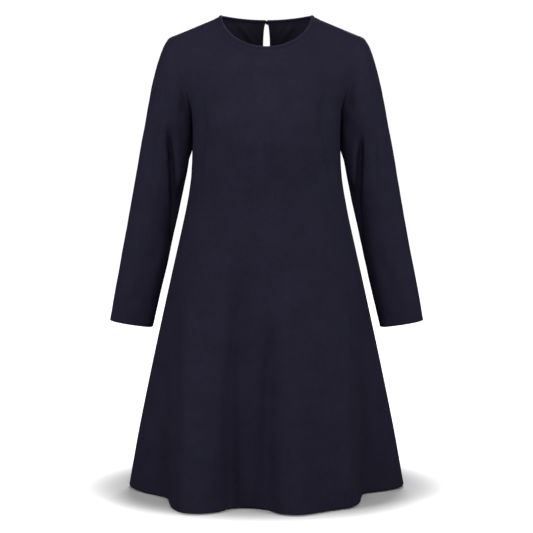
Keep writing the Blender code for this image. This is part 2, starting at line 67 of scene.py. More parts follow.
# Half width at the side seams, and depth in front of and behind them.
Section = namedtuple("Section", "z half_width front back")
BODY = (
    Section(-0.1985, 0.1550, 0.1315, 0.1090),
    Section(ARMPIT.z, ARMPIT.x, 0.1330, 0.1090),
    Section(-0.2450, 0.1510, 0.1360, 0.1080),
    Section(-0.2850, 0.1508, 0.1350, 0.1060),
    Section(-0.3250, 0.1536, 0.1325, 0.1050),
    Section(-0.3700, 0.1603, 0.1320, 0.1070),
    Section(-0.4200, 0.1707, 0.1345, 0.1130),
    Section(-0.5500, 0.2004, 0.1470, 0.1340),
    Section(-0.7000, 0.2338, 0.1630, 0.1570),
    Section(-0.8500, 0.2650, 0.1790, 0.1790),
    Section(HEM_Z, 0.2862, 0.1915, 0.1945),
)

# Waves of the hem. Bearings run from the centre front (0) over the side at +X (90)
# to the centre back (180). A flute leans by so many degrees from hem to start.
Flute = namedtuple("Flute", "bearing reach lean start")
FLUTES = (
    Flute(-90.0, 0.000, 0.0, -0.40),
    Flute(-53.0, -0.027, -18.0, -0.50),
    Flute(-27.0, 0.055, -13.0, -0.47),
    Flute(-7.0, -0.009, 2.0, -0.50),
    Flute(10.5, 0.045, 3.0, -0.48),
    Flute(31.0, 0.019, 10.0, -0.46),
    Flute(56.0, -0.050, 18.0, -0.50),
    Flute(90.0, 0.000, 0.0, -0.40),
    Flute(116.0, -0.034, -10.0, -0.50),
    Flute(139.0, 0.040, -6.0, -0.46),
    Flute(160.0, -0.012, -3.0, -0.52),
    Flute(182.0, 0.030, 0.0, -0.44),
    Flute(203.0, -0.016, 4.0, -0.52),
    Flute(222.0, 0.044, 6.0, -0.47),
    Flute(246.0, -0.030, 12.0, -0.50),
)
FLUTE_SWELL = 1.25

# Neck line, shoulder seams and the curves of the bodice.
SEAM_Y = 0.004
NECK_HALF = 0.09
NECK_FRONT = 0.089
NECK_FRONT_DROP = 0.059
NECK_BACK = 0.06
NECK_BACK_DROP = 0.0088
NECK_DIP = 1.15
BINDING_HALF = 0.0055
BINDING_FRONT = 0.0025
BINDING_BACK = 0.003
BINDING_DROP = 0.0047
BINDING_SIDE_DROP = 0.0022
SHOULDER = Vector((0.1950, SEAM_Y, -0.0432))
RISE_STEP = 0.01
ARMPIT_PULL = 0.17
NECK_PULL = 0.15
SHOULDER_PULL = 0.1
NECK_CORNER_TURN = 0.5
SHOULDER_TURN_RATE = 1.5
EASE_IN = 0.2
EASE_OUT = 0.25
EASING_ROUNDS = 8

# Armhole.
ARMHOLE_CENTRE = (SHOULDER + ARMPIT) / 2.0
ARMHOLE_UP = (SHOULDER - ARMPIT) / 2.0
ARMHOLE_DEPTH = 0.052
SCOOP = {"front": 0.021, "back": 0.012}

# Rings of a sleeve from the foot of its cap to its cuff.
Ring = namedtuple("Ring", "z x y half_width half_depth")
SLEEVE = (
    Ring(-0.262, 0.2030, 0.0020, 0.0514, 0.0415),
    Ring(-0.340, 0.2183, 0.0030, 0.0505, 0.0395),
    Ring(-0.420, 0.2346, 0.0020, 0.0490, 0.0365),
    Ring(-0.500, 0.2512, -0.0020, 0.0474, 0.0330),
    Ring(-0.570, 0.2658, -0.0070, 0.0461, 0.0290),
    Ring(-0.624, 0.2770, -0.0110, 0.0450, 0.0255),
)
SLEEVE_TILT = math.radians(11.7)
CUFF_TILT = math.radians(8.5)
Cap = namedtuple("Cap", "middle change")
CAP_OUT = Cap(0.39, 0.33)
CAP_DOWN = Cap(0.86, -0.14)
CAP_LEAVE_PULL = Cap(0.085, 0.035)
CAP_ARRIVE_PULL = Cap(0.125, 0.075)
CAP_FORWARD = 0.2

# Columns and rows of the control grids, as many as the solids have.
NECK_COLUMNS = 7
SHOULDER_COLUMNS = 7
COLUMNS = NECK_COLUMNS + SHOULDER_COLUMNS
NECK_BEARING = 41.0
SKIRT_ROWS = 21
BODICE_ROWS = 11
CAP_ROWS = 6
ARM_ROWS = 12
AROUND = 2 * BODICE_ROWS
FRONT = Vector((0.0, -1.0, 0.0))


def smooth(share):
    """Ease from 0 to 1 with level ends; takes numbers and arrays."""
    share = np.clip(share, 0.0, 1.0)
    return share * share * (3.0 - 2.0 * share)


def hermite(start, leave, end, arrive, share):
    """Point on the curve that leaves start along one vector and arrives along the other."""
    s2 = share * share
    s3 = s2 * share
    return (start * (2 * s3 - 3 * s2 + 1) + leave * (s3 - 2 * s2 + share)
            + end * (3 * s2 - 2 * s3) + arrive * (s3 - s2))


def ramp(share, rise, fade):
    """1 along a run, easing from 0 over its first share and to 0 over its last."""
    return smooth(share / rise) * smooth((1.0 - share) / fade)


def sin_cos(degrees):
    """Sine and cosine of an angle."""
    angle = math.radians(degrees)
    return math.sin(angle), math.cos(angle)


def read(rows, column, z):
    """One column of a table of sections, joined smoothly from row to row."""
    last = len(rows) - 1
    low = next((i for i in range(last) if z >= rows[i + 1].z), last - 1)

    def value(i):
        return getattr(rows[min(max(i, 0), last)], column)

    def slope(i):
        a, b = max(i - 1, 0), min(i + 1, last)
        return (value(b) - value(a)) / (rows[b].z - rows[a].z)

    step = rows[low + 1].z - rows[low].z
    share = (z - rows[low].z) / step
    return hermite(value(low), slope(low) * step, value(low + 1), slope(low + 1) * step, share)


def flute_reach(bearing, z):
    """How far the waves of the hem carry the cloth outward at one bearing and level."""
    crests = []
    for flute in FLUTES:
        fall = min(max((flute.start - z) / (flute.start - HEM_Z), 0.0), 1.0)
        crests.append((flute.bearing + flute.lean * (1.0 - fall), flute.reach * fall ** FLUTE_SWELL))
    crests.append((crests[0][0] + 360.0, crests[0][1]))
    for (here, reach), (there, next_reach) in zip(crests, crests[1:]):
        if here <= bearing <= there:
            return reach + (next_reach - reach) * smooth((bearing - here) / (there - here))
    return 0.0


def body_point(bearing, z):
    """Outside of the dress below the armholes."""
    half = read(BODY, "half_width", z)
    depth = read(BODY, "front" if abs(bearing) <= 90.0 else "back", z)
    across, ahead = sin_cos(bearing)
    outward = Vector((depth * across, -half * ahead, 0.0)).normalized()
    return Vector((half * across, -depth * ahead, z)) + outward * flute_reach(bearing, z)


def neck_edge(face, side, bearing, inset):
    """Neck line: inset 0 is the top of its binding, and 1 the panel's own edge."""
    across, along = sin_cos(bearing)
    along = abs(along)
    side_drop = inset * BINDING_SIDE_DROP * across * across
    if face == "front":
        depth = -(NECK_FRONT + inset * BINDING_FRONT) * along
        drop = (NECK_FRONT_DROP + inset * BINDING_DROP) * along ** NECK_DIP
    else:
        depth = (NECK_BACK + inset * BINDING_BACK) * along
        drop = (NECK_BACK_DROP + inset * BINDING_DROP) * along * along
    half = NECK_HALF + inset * BINDING_HALF
    return Vector((side * half * across, SEAM_Y + depth, -drop - side_drop))


def armhole(face, side, turn):
    """Armhole line: turn 0 is the shoulder point and 180 the armpit."""
    ahead, up = sin_cos(turn)
    ahead *= -1.0 if face == "front" else 1.0
    point = ARMHOLE_CENTRE + ARMHOLE_UP * up + Vector((0.0, ARMHOLE_DEPTH * ahead, 0.0))
    point.x -= SCOOP[face] * ahead * ahead * ((1.0 - up) / 2.0) ** 2
    return Vector((side * point.x, point.y, point.z))


def column_bearing(column):
    """Bearing from the centre line of a panel's column of points."""
    if column <= NECK_COLUMNS:
        return NECK_BEARING * column / NECK_COLUMNS
    share = (column - NECK_COLUMNS) / SHOULDER_COLUMNS
    return NECK_BEARING + (90.0 - NECK_BEARING) * share


def column_top(face, side, column):
    """Where a column ends, on the neck line or the shoulder seam, and its heading there."""
    over = Vector((0.0, 1.0 if face == "front" else -1.0, 0.0))
    along_neck = min(column / NECK_COLUMNS, 1.0)
    along_seam = max((column - NECK_COLUMNS) / SHOULDER_COLUMNS, 0.0)
    corner = neck_edge(face, side, 90.0 * along_neck, 1.0)
    to_neck = (neck_edge(face, side, 90.0 * along_neck, 0.0) - corner).normalized()
    blend = NECK_CORNER_TURN * along_neck ** 2
    blend += (1.0 - NECK_CORNER_TURN) * float(smooth(along_seam * SHOULDER_TURN_RATE))
    heading = (to_neck * (1.0 - blend) + over * blend).normalized()
    pull = NECK_PULL + (SHOULDER_PULL - NECK_PULL) * along_neck
    end = Vector((side * SHOULDER.x, SHOULDER.y, SHOULDER.z))
    return corner.lerp(end, along_seam), heading * pull


def rising_column(face, side, column, share):
    """A column's own curve from the armpit's level to the top of its panel."""
    bearing = column_bearing(column) * side
    if face == "back":
        bearing = 180.0 - bearing
    start = body_point(bearing, ARMPIT.z)
    leave = (body_point(bearing, ARMPIT.z + RISE_STEP) - start) / RISE_STEP
    end, arrive = column_top(face, side, column)
    return hermite(start, leave * ARMPIT_PULL, end, arrive, share)


def bodice_point(face, side, column, share):
    """Outside of the bodice: share 0 is the armpit's level, 1 the top of the panel."""
    point = rising_column(face, side, column, share)
    if column > NECK_COLUMNS:
        near = (column - NECK_COLUMNS) / SHOULDER_COLUMNS
        armhole_line = armhole(face, side, 180.0 * (1.0 - share))
        point += (armhole_line - rising_column(face, side, COLUMNS, share)) * near ** 2
    return point


def ease_row(row, share):
    """Soften a bodice row sideways, so the neck's corner leaves no ridge in the cloth below it."""
    amount = float(ramp(share, EASE_IN, EASE_OUT))
    for _ in range(EASING_ROUNDS):
        eased = [(a + c) / 4 + b / 2 for a, b, c in zip(row, row[1:], row[2:])]
        row = [row[0]] + [b.lerp(e, amount) for b, e in zip(row[1:-1], eased)] + [row[-1]]
    return row


def panel_grid(face):
    """Control points of a front or back, row by row from the hem to the shoulder."""
    columns = range(-COLUMNS, COLUMNS + 1)
    rows = []
    for i in range(SKIRT_ROWS + 1):
        z = HEM_Z + (ARMPIT.z - HEM_Z) * i / SKIRT_ROWS
        bearings = [math.copysign(column_bearing(abs(c)), c) for c in columns]
        if face == "back":
            bearings = [180.0 - b for b in bearings]
        rows.append([body_point(b, z) for b in bearings])
    for i in range(1, BODICE_ROWS + 1):
        share = i / BODICE_ROWS
        row = [bodice_point(face, -1 if c < 0 else 1, abs(c), share) for c in columns]
        rows.append(ease_row(row, share))
    return np.array(rows)


def sleeve_ring(side, z, turn):
    """Outside of a sleeve below its cap: turn 0 is the outer line, 90 the front, 180 the inner line."""
    near_cuff = float(smooth((SLEEVE[-2].z - z) / (SLEEVE[-2].z - SLEEVE[-1].z)))
    tilt = SLEEVE_TILT + (CUFF_TILT - SLEEVE_TILT) * near_cuff
    centre = Vector((read(SLEEVE, "x", z), read(SLEEVE, "y", z), z))
    ahead, out = sin_cos(turn)
    across = Vector((math.cos(tilt), 0.0, math.sin(tilt))) * out
    point = (centre + across * read(SLEEVE, "half_width", z)
             + FRONT * ahead * read(SLEEVE, "half_depth", z))
    return Vector((side * point.x, point.y, point.z))


def cap_point(side, turn, share):
    """Outside of a sleeve's cap, from the armhole to the first ring below it."""
    ahead, up = sin_cos(turn)
    face = "front" if ahead >= 0.0 else "back"
    start = armhole(face, side, turn if turn <= 180.0 else 360.0 - turn)

    def at(cap):
        return cap.middle + cap.change * up

    leave = Vector((side * at(CAP_OUT), -CAP_FORWARD * ahead, -at(CAP_DOWN))) * at(CAP_LEAVE_PULL)
    arrive = Vector((side * math.sin(SLEEVE_TILT), 0.0, -math.cos(SLEEVE_TILT))) * at(CAP_ARRIVE_PULL)
    return hermite(start, leave, sleeve_ring(side, SLEEVE[0].z, turn), arrive, share)


def sleeve_grid(side):
    """Control points of a sleeve, ring by ring from the armhole to the cuff."""
    turns = [360.0 * i / AROUND for i in range(AROUND)]
    rows = [[cap_point(side, t, i / CAP_ROWS) for t in turns] for i in range(CAP_ROWS)]
    top, cuff = SLEEVE[0].z, SLEEVE[-1].z
    for i in range(ARM_ROWS + 1):
        rows.append([sleeve_ring(side, top + (cuff - top) * i / ARM_ROWS, t) for t in turns])
    return np.array(rows)


# ------------ fine grids
# Points to each step of a control grid, and those added close to a piece's edges and
# to the line of a turned-up hem. HAIR is a margin for comparing lengths.
COLUMN_STEPS = 6
ROW_STEPS = 6
SLEEVE_STEPS = 8
EDGE_STEPS = (0.04, 0.09, 0.16)
TURN_STEPS = (-0.06, 0.0, 0.06)
HAIR = 1e-5


def places(last, steps, near=(), from_ends=EDGE_STEPS):
    """Places along a grid from 0 to last, so many to each step, with others by lines and ends."""
    even = [i / steps for i in range(last * steps + 1)]
    return np.array(sorted({*even, *near, *from_ends, *(last - s for s in from_ends)}))


def weights(spots, count, closed=False):
    """Matrix that reads a smooth curve through count control points at the given places."""
    matrix = np.zeros((len(spots), count))
    for row, spot in zip(matrix, spots):
        base = min(int(spot), count - (1 if closed else 2))
        t = spot - base
        shares = ((-t + 2 * t * t - t ** 3) / 2, (2 - 5 * t * t + 3 * t ** 3) / 2,
                  (t + 4 * t * t - 3 * t ** 3) / 2, (t ** 3 - t * t) / 2)
        for i, share in enumerate(shares, base - 1):
            if closed:
                row[i % count] += share
            elif i < 0:
                row[0] += 2 * share
                row[1] -= share
            elif i >= count:
                row[-1] += 2 * share
                row[-2] -= share
            else:
                row[i] += share
    return matrix


def refine(grid, row_spots, column_spots, closed=False):
    """The control grid's smooth surface, read at finer rows and columns."""
    down = weights(row_spots, grid.shape[0])
    across = weights(column_spots, grid.shape[1], closed)
    return np.einsum("ri,cj,ijk->rck", down, across, grid)


def unit(vectors):
    """Vectors brought to length 1."""
    return vectors / np.linalg.norm(vectors, axis=-1, keepdims=True)


def outward_of(points, flip, closed=False):
    """Unit vectors out of the cloth at every point of a grid."""
    if closed:
        across = np.roll(points, -1, axis=1) - np.roll(points, 1, axis=1)
    else:
        across = np.gradient(points, axis=1)
    return unit(np.cross(across, np.gradient(points, axis=0)) * (-1.0 if flip else 1.0))


def run_from(points, axis, last):
    """Length along the cloth from one edge of a grid: its first row or column, or its last."""
    steps = np.linalg.norm(np.diff(points, axis=axis), axis=2)
    zero = np.zeros_like(steps[:1] if axis == 0 else steps[:, :1])
    run = np.cumsum(np.concatenate([zero, steps], axis=axis), axis=axis)
    if last:
        run = (run[-1:] if axis == 0 else run[:, -1:]) - run
    return run


def from_sides(points):
    """Length along the cloth from the nearer of a grid's first and last columns."""
    return np.minimum(run_from(points, 1, False), run_from(points, 1, True))


# ------------ folds
# Folds of the front and back, seen square on: each runs from its top to its foot,
# bowed sideways, and is so deep (a ridge if negative), and so wide on its left and right.
Fold = namedtuple("Fold", "x_top z_top x_foot z_foot bow depth left right")
FRONT_FOLDS = (
    # drags from the armpits
    Fold(-0.124, -0.165, -0.142, -0.345, 0.003, 0.0056, 0.007, 0.010),
    Fold(0.108, -0.150, 0.142, -0.345, -0.004, 0.0076, 0.010, 0.008),
    # soft breaks over the waist
    Fold(-0.052, -0.300, -0.038, -0.410, 0.002, 0.0010, 0.010, 0.012),
    Fold(-0.006, -0.330, 0.006, -0.450, -0.002, 0.0009, 0.011, 0.010),
    Fold(0.058, -0.310, 0.048, -0.430, 0.003, 0.0010, 0.012, 0.010),
    # the left flute's folded edge
    Fold(-0.160, -0.500, -0.163, -1.060, 0.000, -0.0036, 0.010, 0.018),
    # valleys between the flutes
    Fold(-0.052, -0.440, -0.066, -1.050, -0.004, 0.0165, 0.017, 0.023),
    Fold(-0.104, -0.600, -0.112, -1.000, -0.004, 0.0016, 0.014, 0.018),
    Fold(0.002, -0.560, -0.004, -1.040, -0.004, 0.0105, 0.013, 0.016),
    Fold(-0.026, -0.600, -0.032, -1.060, 0.000, 0.0036, 0.044, 0.044),
    Fold(0.104, -0.560, 0.120, -1.000, 0.004, 0.0020, 0.020, 0.016),
    # the right flute's folded edge
    Fold(0.162, -0.540, 0.166, -1.060, 0.000, -0.0030, 0.018, 0.008),
)
BACK_FOLDS = (
    # drags that run from beside the neck to the keyhole
    Fold(-0.062, -0.012, -0.016, -0.078, 0.003, 0.0042, 0.005, 0.007),
    Fold(-0.041, -0.016, -0.014, -0.060, 0.002, 0.0026, 0.004, 0.005),
    Fold(0.060, -0.014, 0.015, -0.082, -0.004, 0.0040, 0.006, 0.005),
    Fold(0.036, -0.018, 0.014, -0.056, -0.001, 0.0024, 0.004, 0.005),
    Fold(-0.006, -0.120, -0.022, -0.250, 0.002, 0.0014, 0.008, 0.010),
    # drags from the armpits
    Fold(-0.112, -0.140, -0.137, -0.320, 0.005, 0.0034, 0.007, 0.010),
    Fold(0.116, -0.150, 0.138, -0.300, -0.004, 0.0030, 0.010, 0.007),
    Fold(0.128, -0.210, 0.150, -0.370, -0.002, 0.0014, 0.006, 0.006),
    # soft breaks over the waist
    Fold(-0.040, -0.290, -0.052, -0.420, -0.003, 0.0014, 0.012, 0.010),
    Fold(0.034, -0.310, 0.050, -0.440, 0.004, 0.0012, 0.010, 0.012),
    # valleys between the flutes, and the flutes' edges
    Fold(0.070, -0.480, 0.108, -1.080, 0.004, 0.0085, 0.019, 0.017),
    Fold(-0.066, -0.500, -0.118, -1.080, -0.005, 0.0090, 0.016, 0.020),
    Fold(0.016, -0.600, 0.030, -1.040, 0.003, 0.0038, 0.012, 0.014),
    Fold(-0.028, -0.640, -0.040, -1.050, -0.002, 0.0034, 0.012, 0.011),
    Fold(0.192, -0.560, 0.214, -1.060, 0.002, 0.0075, 0.009, 0.013),
    Fold(-0.196, -0.540, -0.216, -1.060, -0.003, 0.0080, 0.013, 0.009),
    Fold(0.176, -0.600, 0.194, -1.040, 0.002, -0.0030, 0.016, 0.007),
)
FOLD_IN = 0.25
FOLD_OUT = 0.22
CREASE = 1.85

# Folds of the sleeves. Turns run from the outer line (0) over the front (90) to the
# inner line (180). A fold goes from its top turn to its foot turn, and spreads so far
# towards lower and higher turns. A swing under 1 takes it across early, and over 1
# late; a high wall number makes its sides steep.
Drag = namedtuple("Drag", "side turn_top turn_foot z_top z_foot depth low high swing wall",
                  defaults=(1.0, 2.0))
SLEEVE_FOLDS = (
    # right sleeve: long trough from the front of the cap to the inside of the elbow, where
    # it widens, the pouch beside it, the crease under the arm, and lesser drags
    Drag(-1, 84, 160, -0.205, -0.45, 0.0112, 7, 11.5, 1.0, 2.6),
    Drag(-1, 150, 166, -0.31, -0.48, 0.0058, 15, 12, 1.0, 2.2),
    Drag(-1, 133, 154, -0.195, -0.375, -0.0036, 15, 13),
    Drag(-1, 158, 172, -0.15, -0.3, 0.0075, 15, 14, 0.6, 2.2),
    Drag(-1, 88, 114, -0.065, -0.215, 0.0034, 9, 14),
    Drag(-1, 136, 142, -0.41, -0.72, -0.0036, 22, 24),
    Drag(-1, 54, 82, -0.19, -0.35, 0.002, 8, 9),
    Drag(-1, 36, 62, -0.11, -0.26, -0.0014, 12, 12),
    Drag(-1, 52, 96, -0.36, -0.52, 0.0014, 14, 14),
    Drag(-1, 120, 84, -0.44, -0.6, 0.0016, 15, 15),
    # right sleeve, behind: fullness under the arm, and drags
    Drag(-1, 196, 200, -0.185, -0.295, -0.0036, 15, 16),
    Drag(-1, 285, 212, -0.17, -0.43, 0.008, 13, 8, 1.3, 2.6),
    Drag(-1, 262, 232, -0.11, -0.3, 0.0024, 9, 9, 1.2),
    Drag(-1, 305, 262, -0.37, -0.54, 0.0016, 14, 14),
    # left sleeve, in front
    Drag(1, 97, 166, -0.225, -0.455, 0.0115, 6.5, 11, 1.1, 2.6),
    Drag(1, 152, 167, -0.315, -0.485, 0.0058, 15, 12, 1.0, 2.2),
    Drag(1, 137, 156, -0.195, -0.365, -0.0036, 15, 13),
    Drag(1, 160, 172, -0.15, -0.3, 0.007, 14, 12, 0.6, 2.2),
    Drag(1, 84, 112, -0.065, -0.205, 0.0034, 9, 14),
    Drag(1, 136, 142, -0.41, -0.72, -0.0036, 22, 24),
    Drag(1, 52, 90, -0.165, -0.355, 0.0024, 7, 8),
    Drag(1, 60, 100, -0.4, -0.54, 0.0015, 13, 13),
    Drag(1, 112, 88, -0.47, -0.61, 0.0014, 14, 14),
    # left sleeve, behind
    Drag(1, 196, 200, -0.185, -0.295, -0.0036, 15, 16),
    Drag(1, 275, 208, -0.16, -0.45, 0.0078, 14, 8, 1.4, 2.6),
    Drag(1, 250, 228, -0.12, -0.29, 0.0022, 9, 9),
    Drag(1, 312, 270, -0.39, -0.56, 0.0015, 14, 14),
)
# The edges of the front's two great flutes lean out over the cloth behind them. These
# are the same, with the columns of the panel's grid for turns.
FLUTE_LEANS = (
    Drag("front", 5.9, 9.6, -0.52, -1.25, 0.0065, 1.3, 1.1, 0.72),
    Drag("front", 22.3, 19.2, -0.52, -1.25, 0.0045, 1.1, 1.3, 0.72),
)

# Between the folds the cloth wanders by up to this much, over waves of this length.
# Each piece takes its waves from a place of its own.
WANDER = 0.0011
WANDER_LENGTH = 0.085
RIPPLE = 0.00035
RIPPLE_LENGTH = 0.026
RIPPLE_SHIFT = 7.0
WANDER_PLACE = {"front": 3.0, "back": 41.0, -1: 71.0, 1: 89.0}


def fold_depth(fold, share, aside, low, high, wall):
    """Depth of one fold: it eases in and out along its run, and falls off to each side."""
    spread = np.where(aside < 0.0, low, high)
    return fold.depth * ramp(share, FOLD_IN, FOLD_OUT) * np.exp(-(np.abs(aside / spread) ** wall))


def panel_folds(points, folds):
    """Depth of the folds of a front or back at every point of its grid."""
    depth = np.zeros(points.shape[:2])
    for fold in folds:
        run = np.array((fold.x_foot - fold.x_top, fold.z_foot - fold.z_top))
        length = np.linalg.norm(run)
        across = points[..., 0] - fold.x_top
        down = points[..., 2] - fold.z_top
        share = (across * run[0] + down * run[1]) / length ** 2
        bow = fold.bow * 4.0 * share * (1.0 - share)
        aside = (down * run[0] - across * run[1]) / length - bow
        depth += fold_depth(fold, share, aside, fold.left, fold.right, CREASE)
    return depth


def drag_folds(folds, side, turns, points):
    """Depth of the folds that run across the turns of a sleeve or the columns of a panel."""
    depth = np.zeros(points.shape[:2])
    for fold in folds:
        if fold.side != side:
            continue
        share = (fold.z_top - points[..., 2]) / (fold.z_top - fold.z_foot)
        swing = np.clip(share, 0.0, 1.0) ** fold.swing
        middle = fold.turn_top + (fold.turn_foot - fold.turn_top) * swing
        aside = (turns - middle + 180.0) % 360.0 - 180.0
        depth += fold_depth(fold, share, aside, fold.low, fold.high, fold.wall)
    return depth


def wander(points, piece):
    """Slight unevenness of the cloth, never the same twice."""
    def waves(length, offset):
        flat = (points.reshape(-1, 3) / length + offset).tolist()
        return np.array([noise.noise(p) for p in flat]).reshape(points.shape[:2])

    place = WANDER_PLACE[piece]
    return WANDER * waves(WANDER_LENGTH, place) + RIPPLE * waves(RIPPLE_LENGTH, place + RIPPLE_SHIFT)


# ------------ cloth shells
# Thickness, turn-ups, the dips of stitches and seams, the hollow beside an armhole, and
# CALM: the strip along an edge in which the folds die out.
CLOTH = 0.0009
TURNED_UP = 0.0019
HEM_DEPTH = 0.025
CUFF_HEM = 0.02
HEM_DIP = 0.00018
HEM_DIP_WIDTH = 0.0026
SEAM_DIP = 0.0009
SEAM_WIDTH = 0.005
ARMPIT_DIP = 0.15
ARMPIT_REACH = 0.35
ARMHOLE_EASE = 0.015
ARMHOLE_HOLLOW = 0.006
HOLLOW_ON_PANEL = 0.024
HOLLOW_ON_SLEEVE = 0.045
CALM = 0.012
SLEEVE_HEAD = 0.0012
SLEEVE_HEAD_WIDTH = 0.011
HEAD_REACH = 0.4
RIM_ROUND = 0.35


def cloth_piece(name, outer, normal, thickness, closed, finishes):
    """Closed thin shell: an outer and an inner sheet, joined round their edges by a soft fold."""
    rows, columns = outer.shape[:2]
    count = rows * columns
    inner = outer - normal * thickness[..., None]
    points = np.concatenate([outer.reshape(-1, 3), inner.reshape(-1, 3)]).tolist()

    def index(row, column):
        return row * columns + column % columns

    sheet = [(index(r, c), index(r, c + 1), index(r + 1, c + 1), index(r + 1, c))
             for r in range(rows - 1) for c in range(columns if closed else columns - 1)]
    if np.dot(np.cross(outer[0, 1] - outer[0, 0], outer[1, 0] - outer[0, 0]), normal[0, 0]) < 0.0:
        sheet = [face[::-1] for face in sheet]
    faces = sheet + [tuple(count + i for i in face[::-1]) for face in sheet]

    if closed:
        edges = [[(0, c, 1, c) for c in range(columns)],
                 [(rows - 1, c, rows - 2, c) for c in range(columns)]]
    else:
        edges = [[(0, c, 1, c) for c in range(columns)]
                 + [(r, columns - 1, r, columns - 2) for r in range(1, rows)]
                 + [(rows - 1, c, rows - 2, c) for c in range(columns - 2, -1, -1)]
                 + [(r, 0, r, 1) for r in range(rows - 2, 0, -1)]]
    for edge in edges:
        first = len(points)
        for row, column, row_in, column_in in edge:
            away = unit(outer[row, column] - outer[row_in, column_in])
            middle = (outer[row, column] + inner[row, column]) / 2
            points.append((middle + away * thickness[row, column] * RIM_ROUND).tolist())
        for i, here in enumerate(edge):
            after = edge[(i + 1) % len(edge)]
            a, b = index(*here[:2]), index(*after[:2])
            fold_a, fold_b = first + i, first + (i + 1) % len(edge)
            faces.append((a, b, fold_b, fold_a))
            faces.append((fold_a, fold_b, count + b, count + a))

    mesh = bpy.data.meshes.new(name)
    mesh.from_pydata(points, [], faces)
    for finish in finishes:
        mesh.materials.append(finish)
    on_inner = [int(len(sheet) <= i < 2 * len(sheet)) for i in range(len(faces))]
    mesh.polygons.foreach_set("material_index", on_inner)
    bm = bmesh.new()
    bm.from_mesh(mesh)
    return placed(name, turned_out(bm, mesh))


def turned_out(bm, mesh):
    """A mesh with the faces of a closed bmesh, all pointing out."""
    bmesh.ops.recalc_face_normals(bm, faces=bm.faces[:])
    bm.to_mesh(mesh)
    bm.free()
    return mesh


def in_scene(name, data):
    """A new object in the scene."""
    item = bpy.data.objects.new(name, data)
    bpy.context.scene.collection.objects.link(item)
    return item


def placed(name, data):
    """A smooth-shaded piece of the dress, made from a mesh or curve, riding on its one body."""
    if isinstance(data, bpy.types.Mesh):
        data.shade_smooth()
    piece = in_scene(name, data)
    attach(piece, "root")
    return piece


def bell(distance, width):
    """1 on a line, and fading to 0 beside it."""
    return np.exp(-((distance / width) ** 2))


def seam_dip(distance, turn):
    """How far the cloth sinks in at a seam: fully at the shoulder, and little at the armpit."""
    hold = ARMPIT_DIP + (1.0 - ARMPIT_DIP) * smooth((1.0 + np.cos(np.radians(turn))) / ARMPIT_REACH)
    return SEAM_DIP * (1.0 - smooth(distance / SEAM_WIDTH)) * hold


def hollow(turn, distance, width):
    """How far the cloth beside the armhole lies back (in front) or forward (behind)."""
    wave = np.sin(np.radians(turn))
    return ARMHOLE_HOLLOW * wave * np.abs(wave) * (1.0 - smooth(distance / width))


def to_armhole_middle(points):
    """Unit vectors towards the middle of the nearer armhole, up, down, forward or back."""
    away = np.array(ARMHOLE_CENTRE) - points
    away[..., 0] = 0.0
    return unit(away)


def on_armhole_line(face, points, rows):
    """A panel's grid with its armhole edges moved onto the smooth line of the sleeve's own edge."""
    above = rows >= SKIRT_ROWS
    spots = AROUND / 2 * (1.0 - (rows[above] - SKIRT_ROWS) / BODICE_ROWS)
    if face == "back":
        spots = (AROUND - spots) % AROUND
    read_at = weights(spots, AROUND, closed=True)
    for side, edge, last in ((-1, 0, False), (1, -1, True)):
        line = read_at @ sleeve_grid(side)[0]
        shift = np.zeros((len(rows), 1, 3))
        shift[above, 0] = line - points[above, edge]
        points = points + shift * bell(run_from(points, 1, last), ARMHOLE_EASE)[..., None]
    return points


def panel_surface(face):
    """Outside of the front or back with its folds, and the vectors out of it."""
    hem_row = HEM_DEPTH / (ARMPIT.z - HEM_Z) * SKIRT_ROWS
    rows = places(SKIRT_ROWS + BODICE_ROWS, ROW_STEPS, [hem_row + s for s in TURN_STEPS])
    columns = places(2 * COLUMNS, COLUMN_STEPS)
    points = on_armhole_line(face, refine(panel_grid(face), rows, columns), rows)
    lean = drag_folds(FLUTE_LEANS, face, columns[None, :], points)
    points[..., 0] += lean * np.sign(points[..., 0])
    normal = outward_of(points, flip=face == "back")

    side = from_sides(points)
    top = run_from(points, 0, True)
    on_shoulder = np.abs(columns - COLUMNS)[None, :] >= NECK_COLUMNS - HAIR
    shoulder = np.where(on_shoulder, top, np.inf)
    seam = np.minimum(side, shoulder)
    calm = smooth(side / CALM) * smooth(top / CALM)
    above = ((rows - SKIRT_ROWS) / BODICE_ROWS)[:, None]
    turn = 180.0 * (1.0 - np.clip(above, 0.0, 1.0))
    by_armhole = ((above > 0.0) & (side < shoulder))[..., None]
    sink_way = np.where(by_armhole, to_armhole_middle(points), -normal)

    folds = panel_folds(points, FRONT_FOLDS if face == "front" else BACK_FOLDS)
    hem = run_from(points, 0, False)
    sunk = (folds + wander(points, face)) * calm + HEM_DIP * bell(hem - HEM_DEPTH, HEM_DIP_WIDTH)
    points = points - normal * sunk[..., None] + sink_way * seam_dip(seam, turn)[..., None]
    points[..., 1] += hollow(turn if face == "front" else -turn, side, HOLLOW_ON_PANEL)
    thickness = np.where(hem < HEM_DEPTH + HAIR, TURNED_UP, CLOTH)
    return points, outward_of(points, flip=face == "back"), thickness


